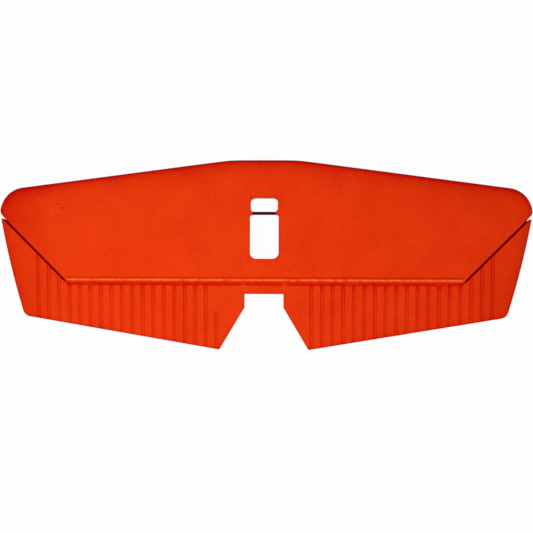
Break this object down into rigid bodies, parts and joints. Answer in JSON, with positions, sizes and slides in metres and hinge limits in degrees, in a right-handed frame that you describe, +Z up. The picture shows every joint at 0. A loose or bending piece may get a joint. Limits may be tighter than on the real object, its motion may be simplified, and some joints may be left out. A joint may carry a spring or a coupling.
{
  "type": "horizontal tail",
  "caption": "Moulded-foam horizontal tail of a radio-control model aircraft: swept stabilizer with fin slot and spar rod, grooved full-width elevator on pinned hinges, control horn underneath",
  "frame": {"origin": "Middle of the fin slot, halfway through the section", "axes": "+X along the span to the right tip, +Y forward to the leading edge, +Z up"},
  "size_m": [0.5048, 0.18, 0.0306],
  "materials": {
    "foam_skin": "matte",
    "carbon_rod": "satin",
    "hinge_nylon": "satin",
    "horn_nylon": "satin",
    "pin_steel": "satin"
  },
  "bodies": {
    "stabilizer": {"stabilizer": "foam_skin", "spar_rod": "carbon_rod", "stab_leaf_left_outer": "hinge_nylon", "stab_leaf_left_middle": "hinge_nylon", "stab_leaf_left_inner": "hinge_nylon", "stab_leaf_right_inner": "hinge_nylon", "stab_leaf_right_middle": "hinge_nylon", "stab_leaf_right_outer": "hinge_nylon", "hinge_pin_left_outer": "pin_steel", "hinge_pin_left_middle": "pin_steel", "hinge_pin_left_inner": "pin_steel", "hinge_pin_right_inner": "pin_steel", "hinge_pin_right_middle": "pin_steel", "hinge_pin_right_outer": "pin_steel"},
    "elevator": {"elevator_left": "foam_skin", "elevator_right": "foam_skin", "elevator_bridge": "foam_skin", "joiner_rod": "carbon_rod", "control_horn": "horn_nylon", "elevator_leaf_left_outer": "hinge_nylon", "elevator_leaf_left_middle": "hinge_nylon", "elevator_leaf_left_inner": "hinge_nylon", "elevator_leaf_right_inner": "hinge_nylon", "elevator_leaf_right_middle": "hinge_nylon", "elevator_leaf_right_outer": "hinge_nylon"}
  },
  "joints": [
    {"name": "elevator_hinge", "type": "hinge", "parent": "stabilizer", "child": "elevator", "pos_m": [0, -0.0532, 0], "axis": [1, 0, 0], "range_deg": [-25, 25]}
  ]
}
